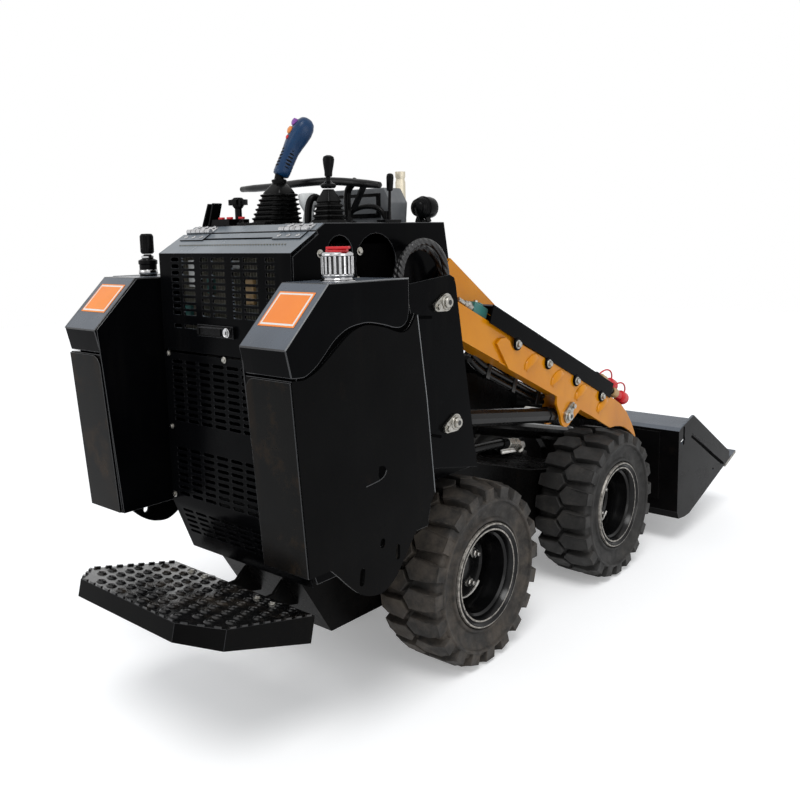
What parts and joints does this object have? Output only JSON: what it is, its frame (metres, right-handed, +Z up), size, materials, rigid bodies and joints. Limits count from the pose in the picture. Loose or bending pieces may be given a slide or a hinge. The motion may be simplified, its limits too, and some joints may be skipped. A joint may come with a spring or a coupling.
{
  "type": "stand-on mini skid steer loader",
  "caption": "Stand-on wheeled mini skid steer loader with twin lift arms, front bucket, fold-up operator platform, rear grille door and side tanks.",
  "frame": {"origin": "on the floor below the middle of the whole machine", "axes": "+X to the machine's right, +Y forwards to the bucket, +Z up"},
  "size_m": [0.742, 2.4032, 1.3197],
  "materials": {
    "black_paint": "gloss",
    "boot_rubber": "matte",
    "chrome": "polished",
    "engine": "matte",
    "grip_plastic": "matte",
    "hose": "matte",
    "lamp": "gloss",
    "orange_paint": "gloss",
    "pad": "matte",
    "steel": "satin",
    "tyre": "matte",
    "zinc": "satin"
  },
  "bodies": {
    "chassis": {"chassis_tub": "black_paint", "engine_block": "engine", "console_shell": "black_paint", "tower_plates": "black_paint", "pivot_pins": "zinc", "hood_hinges": "chrome", "rear_grille": "black_paint", "side_tanks": "black_paint", "side_covers": "black_paint", "tank_caps": "chrome", "lever_boots": "boot_rubber", "control_levers": "grip_plastic", "hand_bar": "pad", "dash_housing": "black_paint", "exhaust_pipe": "steel", "work_lamp": "lamp", "wheel_motors": "black_paint", "platform_hinge": "black_paint"},
    "hood": {"hood_door": "black_paint", "door_latch": "grip_plastic"},
    "platform": {"platform_deck": "black_paint"},
    "arms": {"lift_arms": "orange_paint", "arm_gussets": "orange_paint", "arm_cross_members": "black_paint", "arm_pins": "zinc", "hose_guard": "black_paint", "hose_fittings": "steel", "hose_loop_outer": "hose", "hose_loop_inner": "hose"},
    "bucket": {"attach_plate": "black_paint", "bucket_pins": "zinc", "bucket_shell": "black_paint", "cutting_edge": "black_paint"},
    "lift_barrel_left": {"lift_barrel_left": "black_paint"},
    "lift_barrel_right": {"lift_barrel_right": "black_paint"},
    "lift_rod_left": {"lift_rod_left": "chrome"},
    "lift_rod_right": {"lift_rod_right": "chrome"},
    "tilt_barrel": {"tilt_barrel": "black_paint"},
    "tilt_rod": {"tilt_rod": "chrome"},
    "wheel_rear_left": {"tyre_rear_left": "tyre", "rim_rear_left": "black_paint"},
    "wheel_rear_right": {"tyre_rear_right": "tyre", "rim_rear_right": "black_paint"},
    "wheel_front_left": {"tyre_front_left": "tyre", "rim_front_left": "black_paint"},
    "wheel_front_right": {"tyre_front_right": "tyre", "rim_front_right": "black_paint"}
  },
  "joints": [
    {"name": "wheel_rear_left_spin", "type": "hinge", "parent": "chassis", "child": "wheel_rear_left", "pos_m": [-0.233, -0.38915, 0.22837], "axis": [-1, 0, 0], "continuous": true},
    {"name": "wheel_front_left_spin", "type": "hinge", "parent": "chassis", "child": "wheel_front_left", "pos_m": [-0.233, 0.30884, 0.22837], "axis": [-1, 0, 0], "continuous": true},
    {"name": "wheel_rear_right_spin", "type": "hinge", "parent": "chassis", "child": "wheel_rear_right", "pos_m": [0.233, -0.38915, 0.22837], "axis": [-1, 0, 0], "continuous": true},
    {"name": "wheel_front_right_spin", "type": "hinge", "parent": "chassis", "child": "wheel_front_right", "pos_m": [0.233, 0.30884, 0.22837], "axis": [-1, 0, 0], "continuous": true},
    {"name": "arms_lift", "type": "hinge", "parent": "chassis", "child": "arms", "pos_m": [0, -0.53716, 0.91], "axis": [1, 0, 0], "range_deg": [0, 65]},
    {"name": "bucket_dump", "type": "hinge", "parent": "arms", "child": "bucket", "pos_m": [0, 0.59584, 0.19], "axis": [-1, 0, 0], "range_deg": [0, 75]},
    {"name": "lift_barrel_left_turn", "type": "hinge", "parent": "chassis", "child": "lift_barrel_left", "pos_m": [-0.252, -0.50716, 0.632], "axis": [1, 0, 0], "range_deg": [-0.5, 59.27]},
    {"name": "lift_rod_left_slide", "type": "slide", "parent": "lift_barrel_left", "child": "lift_rod_left", "axis": [0, 0.9886, -0.1507], "range_m": [-0.0005, 0.29175]},
    {"name": "lift_barrel_right_turn", "type": "hinge", "parent": "chassis", "child": "lift_barrel_right", "pos_m": [0.252, -0.50716, 0.632], "axis": [1, 0, 0], "range_deg": [-0.5, 59.27]},
    {"name": "lift_rod_right_slide", "type": "slide", "parent": "lift_barrel_right", "child": "lift_rod_right", "axis": [0, 0.9886, -0.1507], "range_m": [-0.0005, 0.29175]},
    {"name": "tilt_barrel_turn", "type": "hinge", "parent": "arms", "child": "tilt_barrel", "pos_m": [0, -0.05915, 0.503], "axis": [1, 0, 0], "range_deg": [-5.23, 0.5]},
    {"name": "tilt_rod_slide", "type": "slide", "parent": "tilt_barrel", "child": "tilt_rod", "axis": [0, 0.9737, -0.2279], "range_m": [-0.0005, 0.18814]},
    {"name": "platform_fold", "type": "hinge", "parent": "chassis", "child": "platform", "pos_m": [0, -0.90116, 0.265], "axis": [-1, 0, 0], "range_deg": [-13.5, 58]},
    {"name": "hood_open", "type": "hinge", "parent": "chassis", "child": "hood", "pos_m": [0, -0.85137, 1.07683], "axis": [-1, 0, 0], "range_deg": [0, 95]}
  ],
  "couplings": [
    {"joint": "lift_barrel_left_turn", "follows": "arms_lift", "ratio": 0.90417},
    {"joint": "lift_rod_left_slide", "follows": "arms_lift", "m_per_rad": 0.25673},
    {"joint": "lift_barrel_right_turn", "follows": "arms_lift", "ratio": 0.90417},
    {"joint": "lift_rod_right_slide", "follows": "arms_lift", "m_per_rad": 0.25673},
    {"joint": "tilt_barrel_turn", "follows": "bucket_dump", "ratio": -0.06311},
    {"joint": "tilt_rod_slide", "follows": "bucket_dump", "m_per_rad": 0.14335}
  ]
}
